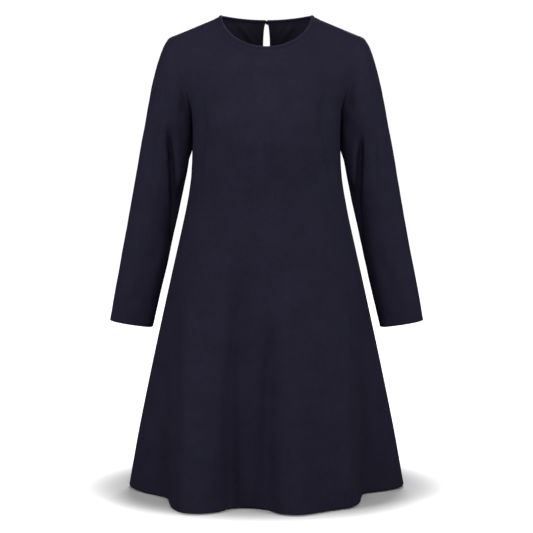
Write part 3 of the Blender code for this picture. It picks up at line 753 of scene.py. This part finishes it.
def sleeve_surface(side):
    """Outside of a sleeve with its folds, and the vectors out of it."""
    last_row = CAP_ROWS + ARM_ROWS
    cuff_row = last_row - CUFF_HEM / (SLEEVE[0].z - SLEEVE[-1].z) * ARM_ROWS
    rows = places(last_row, SLEEVE_STEPS, [cuff_row + s for s in TURN_STEPS])
    around = places(AROUND, SLEEVE_STEPS, from_ends=())[:-1]
    points = refine(sleeve_grid(side), rows, around, closed=True)
    normal = outward_of(points, flip=side < 0, closed=True)

    turns = (360.0 * around / AROUND)[None, :]
    from_cap = run_from(points, 0, False)
    from_cuff = run_from(points, 0, True)
    calm = smooth(from_cap / CALM)
    folds = drag_folds(SLEEVE_FOLDS, side, turns, points)
    sunk = (folds + wander(points, side)) * calm
    upper = smooth((np.cos(np.radians(turns)) + HEAD_REACH) / (1.0 + HEAD_REACH))
    head = from_cap / SLEEVE_HEAD_WIDTH
    sunk -= SLEEVE_HEAD * upper * head * np.exp(1.0 - head)
    sunk += HEM_DIP * bell(from_cuff - CUFF_HEM, HEM_DIP_WIDTH)
    sink_way = to_armhole_middle(points)
    points = points - normal * sunk[..., None] + sink_way * seam_dip(from_cap, turns)[..., None]
    points[..., 1] += hollow(turns, from_cap, HOLLOW_ON_SLEEVE)
    thickness = np.where(from_cuff < CUFF_HEM + HAIR, TURNED_UP, CLOTH)
    return points, outward_of(points, flip=side < 0, closed=True), thickness


# ------------ bindings
# Section of a folded binding: its share of the width from the sewn edge to the fold,
# what is added to that, and the height out of the panel's face.
Lip = namedtuple("Lip", "share more out")
BINDING_RISE = 0.0012
BINDING_SECTION = (
    Lip(0.00, -0.0009, 0.0002), Lip(0.00, -0.0005, 0.0008), Lip(0.30, 0.0, BINDING_RISE),
    Lip(0.65, 0.0, BINDING_RISE), Lip(1.00, -0.0008, 0.0008), Lip(1.00, -0.0002, 0.0001),
    Lip(1.00, 0.0, -0.0008), Lip(1.00, -0.0003, -0.0016), Lip(1.00, -0.0010, -0.0021),
    Lip(0.40, 0.0, -0.0023), Lip(0.00, -0.0003, -0.0019), Lip(0.00, -0.0008, -0.0012),
)
BINDING_STEPS = 8
BINDING_WANDER = 0.00025
BINDING_WAVE = 0.014
NECK_GAP = 0.04
NECK_ENDS = (0.055, 0.075, 0.10, 0.14, 0.19)
NECK_CORNER_RADIUS = 0.003
NECK_CORNER_SHARE = 0.7

KEYHOLE_TOP = -0.012
KEYHOLE_LENGTH = 0.104
KEYHOLE_HALF = 0.0068
KEYHOLE_STRIP = 0.004
KEYHOLE_START = -0.0138
KEYHOLE_STEPS = 84
KEYHOLE_TUCK = 0.0012
CUTTER_TOP = 0.01
CUTTER_NEAR = 0.03
CUTTER_FAR = 0.16
RAY_START = 0.5
RAY_STEP = 0.004


def lofted(name, rings, finish):
    """Piece made of rings of points joined in turn, with closed ends."""
    bm = bmesh.new()
    rings = [[bm.verts.new(point) for point in ring] for ring in rings]
    for ring, after in zip(rings, rings[1:]):
        for i, vert in enumerate(ring):
            j = (i + 1) % len(ring)
            bm.faces.new((vert, ring[j], after[j], after[i]))
    bm.faces.new(reversed(rings[0]))
    bm.faces.new(rings[-1])
    mesh = turned_out(bm, bpy.data.meshes.new(name))
    mesh.materials.append(finish)
    return placed(name, mesh)


def bound_edge(name, sewn, fold, out, finish):
    """Folded binding: one ring of its section at each station."""
    rings = []
    for low, top, way in zip(sewn, fold, out):
        width = np.linalg.norm(top - low)
        across = (top - low) / width
        puff = 1.0 + noise.noise((low / BINDING_WAVE).tolist()) * BINDING_WANDER / BINDING_RISE
        rings.append([low + across * (lip.share * width + lip.more) + way * lip.out * puff
                      for lip in BINDING_SECTION])
    return lofted(name, rings, finish)


def neck_stations():
    """Control points of the neck line, from the centre back over the front and round again."""
    route = [("back", c) for c in range(0, -NECK_COLUMNS - 1, -1)]
    route += [("front", c) for c in range(-NECK_COLUMNS + 1, NECK_COLUMNS)]
    route += [("back", c) for c in range(NECK_COLUMNS, -1, -1)]
    low, top = [], []
    for i, (face, column) in enumerate(route):
        side = -1 if column < 0 or i == 0 else 1
        turn = 90.0 * abs(column) / NECK_COLUMNS
        low.append(neck_edge(face, side, turn, 1.0))
        top.append(neck_edge(face, side, turn, 0.0))
    return np.array(low), np.array(top)


def neck_binding(finish):
    """Binding round the neck line, parted at the centre back, where its corners are rounded."""
    low, top = neck_stations()
    last = len(low) - 1
    spots = places(last, BINDING_STEPS, from_ends=(NECK_GAP, *NECK_ENDS))
    spots = spots[(spots >= NECK_GAP) & (spots <= last - NECK_GAP)]
    read_at = weights(spots, len(low))
    low, top = read_at @ low, read_at @ top
    across = unit(top - low)
    out = unit(np.cross(np.gradient(top, axis=0), across))
    short = np.clip(1.0 - from_sides(top[None])[0] / NECK_CORNER_RADIUS, 0.0, 1.0)
    rounding = NECK_CORNER_RADIUS * (1.0 - np.sqrt(1.0 - short ** 2)) * NECK_CORNER_SHARE
    top = top - across * rounding[:, None]
    return bound_edge("neck_binding_fold", low, top, out, finish)


def keyhole_line(turn, spread):
    """The keyhole's outline in the XZ plane, moved outward by spread; turn 180 is its foot."""
    across, up = sin_cos(turn)
    half_length = KEYHOLE_LENGTH / 2
    point = Vector((KEYHOLE_HALF * across, 0.0, KEYHOLE_TOP - half_length * (1.0 - up)))
    out = Vector((half_length * across, 0.0, KEYHOLE_HALF * up)).normalized()
    return point + out * spread


def keyhole_turns():
    """Turns of the outline's points from the right-hand top, round the foot, to the left."""
    first = math.degrees(math.acos(1.0 - 2.0 * (KEYHOLE_TOP - KEYHOLE_START) / KEYHOLE_LENGTH))
    return [first + (360.0 - 2.0 * first) * i / KEYHOLE_STEPS for i in range(KEYHOLE_STEPS + 1)]


def cut_keyhole(back):
    """Cut the keyhole through the back's cloth; its edge stays hidden inside the binding."""
    outline = [keyhole_line(t, KEYHOLE_STRIP - KEYHOLE_TUCK) for t in keyhole_turns()]
    corners = [Vector((p.x, 0.0, CUTTER_TOP)) for p in (outline[0], outline[-1])]
    outline = [corners[0]] + outline + [corners[1]]
    bm = bmesh.new()
    face = bm.faces.new([bm.verts.new((p.x, CUTTER_NEAR, p.z)) for p in outline])
    extruded = bmesh.ops.extrude_face_region(bm, geom=[face])
    moved = [item for item in extruded["geom"] if isinstance(item, bmesh.types.BMVert)]
    bmesh.ops.translate(bm, verts=moved, vec=(0.0, CUTTER_FAR - CUTTER_NEAR, 0.0))
    cutter = in_scene("keyhole_cutter", turned_out(bm, bpy.data.meshes.new("keyhole_cutter")))
    cut = back.modifiers.new("keyhole", "BOOLEAN")
    cut.operation = "DIFFERENCE"
    cut.object = cutter
    cut.solver = "EXACT"
    bpy.context.view_layer.update()
    evaluated = back.evaluated_get(bpy.context.evaluated_depsgraph_get())
    cut_mesh = bpy.data.meshes.new_from_object(evaluated)
    back.modifiers.clear()
    back.data = cut_mesh
    back.data.shade_smooth()
    bpy.data.objects.remove(cutter, do_unlink=True)


def back_surface(back):
    """A function that gives the point of the back's outside, and the way out, at an x and z."""
    mesh = back.data
    tree = BVHTree.FromPolygons([v.co for v in mesh.vertices], [p.vertices for p in mesh.polygons])

    def hit(x, z):
        return tree.ray_cast(Vector((x, RAY_START, z)), FRONT)[0]

    def at(x, z):
        point = hit(x, z)
        rise = point - hit(x, z - RAY_STEP)
        return point, Vector((0.0, rise.z, -rise.y)).normalized()

    return at


def keyhole_binding(surface, finish):
    """Binding of the keyhole: a narrow folded U of cloth on the back's outline."""
    sewn, fold, out = [], [], []
    for turn in keyhole_turns():
        for edge, spread in ((sewn, KEYHOLE_STRIP), (fold, 0.0)):
            flat = keyhole_line(turn, spread)
            point, way = surface(flat.x, min(flat.z, KEYHOLE_START))
            edge.append(np.array(point))
        out.append(np.array(way))
    return bound_edge("keyhole_binding_fold", sewn, fold, out, finish)


# ------------ button and loop
BUTTON_X = 0.003
BUTTON_Z = -0.0155
BUTTON_SIDES = 40
# Radius and height above the cloth, from the shank's foot to the middle of the face.
BUTTON_PROFILE = (
    (0.0011, 0.0008), (0.0011, 0.0027), (0.0040, 0.0028), (0.0047, 0.0030), (0.0050, 0.0034),
    (0.0050, 0.0039), (0.0048, 0.0044), (0.0043, 0.0047), (0.0036, 0.0047), (0.0031, 0.0045),
    (0.0026, 0.0045), (0.0018, 0.0048), (0.0007, 0.0050),
)
LOOP_RADIUS = 0.00075
LOOP_LIFT = 0.0017
LOOP_TURN = 0.0022
LOOP_ROOT_X = -0.0045
LOOP_STEPS = 28
LOOP_ROOT_STEPS = 5
LOOP_ROUNDNESS = 4


def button_frame(surface):
    """Where the button stands: a point on the cloth, the way across, up and out."""
    point, out = surface(BUTTON_X, BUTTON_Z)
    across = Vector((1.0, 0.0, 0.0))
    return point, across, across.cross(out), out


def turned_button(surface, finish):
    """Small button with a raised rim and a domed middle, on its shank."""
    point, across, up, out = button_frame(surface)
    angles = [2.0 * math.pi * i / BUTTON_SIDES for i in range(BUTTON_SIDES)]
    rings = [[point + across * radius * math.cos(a) + up * radius * math.sin(a) + out * height
              for a in angles] for radius, height in BUTTON_PROFILE]
    return lofted("turned_button", rings, finish)


def rouleau_loop(surface, finish):
    """Narrow tube of cloth from the other edge of the keyhole, round the button's shank."""
    point, across, up, out = button_frame(surface)
    base = point + out * LOOP_LIFT
    root = across * (LOOP_ROOT_X - BUTTON_X)
    legs = [i / LOOP_ROOT_STEPS for i in range(LOOP_ROOT_STEPS)]
    route = [base + root * (1.0 - s) + up * LOOP_TURN for s in legs]
    for i in range(LOOP_STEPS + 1):
        angle = math.pi * (0.5 - i / LOOP_STEPS)
        route.append(base + (across * math.cos(angle) + up * math.sin(angle)) * LOOP_TURN)
    route += [base + root * s - up * LOOP_TURN for s in (*legs[1:], 1.0)]
    curve = bpy.data.curves.new("rouleau_loop", "CURVE")
    curve.dimensions = "3D"
    curve.bevel_depth = LOOP_RADIUS
    curve.bevel_resolution = LOOP_ROUNDNESS
    curve.use_fill_caps = True
    spline = curve.splines.new("POLY")
    spline.points.add(len(route) - 1)
    spline.use_smooth = True
    for knot, place in zip(spline.points, route):
        knot.co = (*place, 1.0)
    curve.materials.append(finish)
    return placed("rouleau_loop", curve)


# ------------ finishes
WHITE = "#ffffff"


def linear(hex_colour):
    """Linear colour of an sRGB hex value."""
    channels = [int(hex_colour[i:i + 2], 16) / 255.0 for i in (1, 3, 5)]
    return (*(c / 12.92 if c <= 0.04045 else ((c + 0.055) / 1.055) ** 2.4 for c in channels), 1.0)


def feed(material, node, inputs):
    """Give a node's inputs values, or link other nodes' sockets to them."""
    for name, value in inputs.items():
        if isinstance(value, bpy.types.NodeSocket):
            material.node_tree.links.new(value, node.inputs[name])
        else:
            node.inputs[name].default_value = value


def add(material, kind, inputs=None, **settings):
    """Add a node with its settings and inputs."""
    node = material.node_tree.nodes.new(kind)
    for name, value in settings.items():
        setattr(node, name, value)
    feed(material, node, inputs or {})
    return node


def new_material(name):
    """A material with a bare Principled shader, and that shader."""
    material = bpy.data.materials.new(name)
    material.use_nodes = True
    return material, material.node_tree.nodes["Principled BSDF"]


# Dyed crepe: a matte, finely pebbled cloth of hard-twisted polyester yarn. Its yarns
# stand about 0.35 mm apart and the pebbles of its face are about 0.9 mm; the pebbles
# are also drawn three times as coarse, so that they show from a step away. The dye
# takes a little unevenly, over hand's-breadths and over finger-widths.
Patches = namedtuple("Patches", "size detail roughness")
DYE_CLOUD = Patches(0.045, 2.0, 0.5)
DYE_MOTTLE = Patches(0.009, 3.0, 0.6)
CREPE_COARSE = Patches(0.0028, 2.0, 0.6)
CREPE_PEBBLE = 0.0009
CREPE_PEBBLE_HEIGHT = 0.00012
CREPE_COARSE_HEIGHT = 0.00028
PEBBLE_STRENGTH = 0.5
COARSE_STRENGTH = 0.8
CREPE_ROUGHNESS = 0.8
CREPE_IOR = 1.46
CREPE_GLOSS = 0.12
CREPE_SHEEN = "#8684a6"
CREPE_SHEEN_ROUGHNESS = 0.45
# Sums of the three noises at which the dye is deepest and lightest; and the two shades
# and the sheen of the cloth's face, its wrong side, and the strips cut on the bias.
# The strips are the same crepe, and their shades are a little lighter than the face's:
# a faint painted highlight for their lit folded edges.
DYE_DEEPEST = 1.05
DYE_LIGHTEST = 1.95
Dye = namedtuple("Dye", "deep light sheen")
FACE_DYE = Dye("#1a1827", "#211f30", 0.03)
WRONG_SIDE_DYE = Dye("#191822", "#1f1e2a", 0.05)
BIAS_SHADES_PAINTED_HIGHLIGHT = Dye("#1b1929", "#232133", 0.05)


def crepe(name, dye_and_highlight_shades):
    """Crepe, from the deep to the light shade given, with a soft fibre sheen; for the strips the shades
    are a little lighter, a faint painted highlight.
    """
    material, shader = new_material(name)
    place = add(material, "ShaderNodeTexCoord").outputs["Object"]
    cloud, mottle, coarse = (
        add(material, "ShaderNodeTexNoise",
            {"Vector": place, "Scale": 1.0 / patches.size, "Detail": patches.detail,
             "Roughness": patches.roughness}).outputs["Fac"]
        for patches in (DYE_CLOUD, DYE_MOTTLE, CREPE_COARSE))
    pebble = add(material, "ShaderNodeTexVoronoi",
                 {"Vector": place, "Scale": 1.0 / CREPE_PEBBLE, "Randomness": 1.0})
    blend = add(material, "ShaderNodeMath", {0: cloud, 1: mottle}, operation="ADD")
    grain = add(material, "ShaderNodeMath", {0: blend.outputs[0], 1: coarse}, operation="ADD")
    shade = add(material, "ShaderNodeMapRange",
                {"Value": grain.outputs[0], "From Min": DYE_DEEPEST, "From Max": DYE_LIGHTEST})
    dye = add(material, "ShaderNodeMix", {"Factor": shade.outputs[0]}, data_type="RGBA")
    for socket in dye.inputs:
        if socket.type == "RGBA":
            socket.default_value = linear(dye_and_highlight_shades.deep if socket.name == "A" else dye_and_highlight_shades.light)
    fine = add(material, "ShaderNodeBump",
               {"Height": pebble.outputs["Distance"], "Strength": PEBBLE_STRENGTH,
                "Distance": CREPE_PEBBLE_HEIGHT})
    face = add(material, "ShaderNodeBump",
               {"Height": coarse, "Strength": COARSE_STRENGTH, "Distance": CREPE_COARSE_HEIGHT,
                "Normal": fine.outputs["Normal"]})
    feed(material, shader, {
        "Base Color": next(s for s in dye.outputs if s.type == "RGBA"),
        "Normal": face.outputs["Normal"], "Roughness": CREPE_ROUGHNESS,
        "IOR": CREPE_IOR, "Specular IOR Level": CREPE_GLOSS, "Sheen Weight": dye_and_highlight_shades.sheen,
        "Sheen Roughness": CREPE_SHEEN_ROUGHNESS, "Sheen Tint": linear(CREPE_SHEEN)})
    return material


# Cast polyester button, tumbled smooth: an even, soft gloss on a dark navy body, hazed
# by the tumbling in spots of about 1.2 mm.
POLYESTER_NAVY = "#15151d"
POLYESTER_IOR = 1.55
TUMBLED_SPOT = 0.0012
TUMBLED_SMOOTHEST = 0.22
TUMBLED_ROUGHEST = 0.38


def cast_button(name):
    """Button polyester with an uneven tumbled gloss."""
    material, shader = new_material(name)
    place = add(material, "ShaderNodeTexCoord").outputs["Object"]
    haze = add(material, "ShaderNodeTexNoise",
               {"Vector": place, "Scale": 1.0 / TUMBLED_SPOT, "Detail": 3.0})
    gloss = add(material, "ShaderNodeMapRange",
                {"Value": haze.outputs["Fac"], "To Min": TUMBLED_SMOOTHEST, "To Max": TUMBLED_ROUGHEST})
    feed(material, shader, {"Base Color": linear(POLYESTER_NAVY), "Roughness": gloss.outputs[0],
                            "IOR": POLYESTER_IOR})
    return material


def studio_floor(name):
    """Pale lit table with a painted shadow round the hem: it glows only from just off the hem outward,
    so the floor by the hem is painted darker, and its light stays off the cloth.
    """
    material, shader = new_material(name)
    place = add(material, "ShaderNodeTexCoord").outputs["Object"]
    # Inside an ellipse round the hem the glow is left out: a painted shadow on the floor.
    hem = (1.0 / PAINTED_SHADOW_HALF_WIDTH, 1.0 / PAINTED_SHADOW_HALF_DEPTH, 0.0)
    flat = add(material, "ShaderNodeVectorMath", {0: place, 1: hem}, operation="MULTIPLY")
    away = add(material, "ShaderNodeVectorMath", {0: flat.outputs[0]}, operation="LENGTH")
    glow_past_painted_shadow = add(material, "ShaderNodeMapRange",
               {"Value": away.outputs["Value"], "From Min": PAINTED_SHADOW_FULL_TO, "From Max": PAINTED_SHADOW_FADED_BY},
               interpolation_type="SMOOTHSTEP")
    feed(material, shader, {"Base Color": linear(FLOOR_PAINT), "Roughness": FLOOR_ROUGHNESS,
                            "Emission Color": linear(WHITE), "Emission Strength": glow_past_painted_shadow.outputs[0]})
    dim = add(material, "ShaderNodeBsdfDiffuse", {"Color": linear(FLOOR_DIM)})
    seen = add(material, "ShaderNodeLightPath").outputs["Is Camera Ray"]
    mix = add(material, "ShaderNodeMixShader", {0: seen, 1: dim.outputs[0], 2: shader.outputs[0]})
    feed(material, material.node_tree.nodes["Material Output"], {"Surface": mix.outputs[0]})
    return material


# ------------ studio
CAMERA_PLACE = (0.0, -3.6, 0.0045)
CAMERA_AIM = (0.0, 0.0, -0.509)
CAMERA_LENS = 119.811
SENSOR = 36.0
FLOOR_GAP = 0.004
FLOOR_HALF = 30.0
FLOOR_ROUGHNESS = 0.9
FLOOR_PAINT = "#bcbcbc"
FLOOR_DIM = "#484848"
# The floor's glow is left out inside an ellipse of these half sizes round the hem, and fades in between
# these two multiples of it: a painted shadow round the hem.
PAINTED_SHADOW_HALF_WIDTH = 0.3
PAINTED_SHADOW_HALF_DEPTH = 0.205
PAINTED_SHADOW_FULL_TO = 0.95
PAINTED_SHADOW_FADED_BY = 1.55
ROOM_LIGHT = 0.13
# Soft boxes: place, aim, width and height, and power.
SoftBox = namedtuple("SoftBox", "name place aim width height power")
SOFT_BOXES = (
    SoftBox("top_box", (0.0, 0.0, 1.9), (0.0, 0.0, -1.0), 1.6, 1.2, 10.0),
    SoftBox("front_box", (0.0, -1.6, 0.25), (0.0, 0.0, -0.30), 1.2, 0.8, 12.5),
    SoftBox("left_box", (-1.70, -1.05, 0.30), (-0.1, 0.0, -0.35), 0.6, 1.0, 24.0),
    SoftBox("right_box", (1.70, -1.05, 0.30), (0.1, 0.0, -0.35), 0.6, 1.0, 24.0),
    SoftBox("back_box", (0.3, 2.2, 0.9), (0.0, 0.0, -0.3), 1.4, 1.0, 60.0),
)


def aimed(item, place, aim):
    """Turn a camera or a lamp at its place towards its aim."""
    item.location = place
    item.rotation_mode = "QUATERNION"
    item.rotation_quaternion = (Vector(aim) - Vector(place)).to_track_quat("-Z", "Y")


def make_studio():
    """Pale floor with a painted shadow round the hem, soft boxes, a bright room, and the camera."""
    scene = bpy.context.scene
    camera = in_scene("camera", bpy.data.cameras.new("camera"))
    camera.data.lens = CAMERA_LENS
    camera.data.sensor_width = SENSOR
    aimed(camera, CAMERA_PLACE, CAMERA_AIM)
    scene.camera = camera

    level = solids_box[0].z - FLOOR_GAP
    mesh = bpy.data.meshes.new("floor")
    mesh.from_pydata([(x * FLOOR_HALF, y * FLOOR_HALF, level)
                      for x, y in ((-1, -1), (1, -1), (1, 1), (-1, 1))], [], [(0, 1, 2, 3)])
    mesh.materials.append(studio_floor("white_floor_painted_shadow"))
    in_scene("floor", mesh)

    for box in SOFT_BOXES:
        lamp = bpy.data.lights.new(box.name, "AREA")
        lamp.shape = "RECTANGLE"
        lamp.size, lamp.size_y, lamp.energy = box.width, box.height, box.power
        aimed(in_scene(box.name, lamp), box.place, box.aim)

    room = bpy.data.worlds.new("room")
    room.use_nodes = True
    lit = room.node_tree.nodes["Background"]
    feed(room, lit, {"Color": linear(WHITE), "Strength": ROOM_LIGHT})
    bright = add(room, "ShaderNodeBackground", {"Color": linear(WHITE), "Strength": 1.0})
    seen = add(room, "ShaderNodeLightPath").outputs["Is Camera Ray"]
    mix = add(room, "ShaderNodeMixShader", {0: seen, 1: lit.outputs[0], 2: bright.outputs[0]})
    feed(room, room.node_tree.nodes["World Output"], {"Surface": mix.outputs[0]})
    scene.world = room
    scene.view_settings.view_transform = "Standard"


# ------------ the dress
def make_dress():
    """Every piece in its finish, standing for its solid."""
    right_side = crepe("navy_crepe_face", FACE_DYE)
    wrong_side = crepe("navy_crepe_wrong_side", WRONG_SIDE_DYE)
    # The strips' finish is a little lighter than the face: a faint painted highlight on the bindings
    # and the loop.
    bias = crepe("navy_crepe_on_the_bias_painted_highlight", BIAS_SHADES_PAINTED_HIGHLIGHT)
    button_finish = cast_button("cast_polyester_navy")

    surfaces = {"front": panel_surface("front"), "back": panel_surface("back"),
                "sleeve_left": sleeve_surface(1), "sleeve_right": sleeve_surface(-1)}
    pieces = {}
    for node, sheets in surfaces.items():
        tube = node.startswith("sleeve")
        cloth = cloth_piece(node + "_cloth", *sheets, tube, (right_side, wrong_side))
        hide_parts(node)
        pieces[node] = cloth

    surface = back_surface(pieces["back"])
    trims = {"neck_binding": neck_binding(bias),
             "keyhole_binding": keyhole_binding(surface, bias),
             "button_loop": rouleau_loop(surface, bias)}
    for node, trim in trims.items():
        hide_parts(node)
    button = turned_button(surface, button_finish)
    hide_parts("neck_button")
    cut_keyhole(pieces["back"])


make_dress()
make_studio()
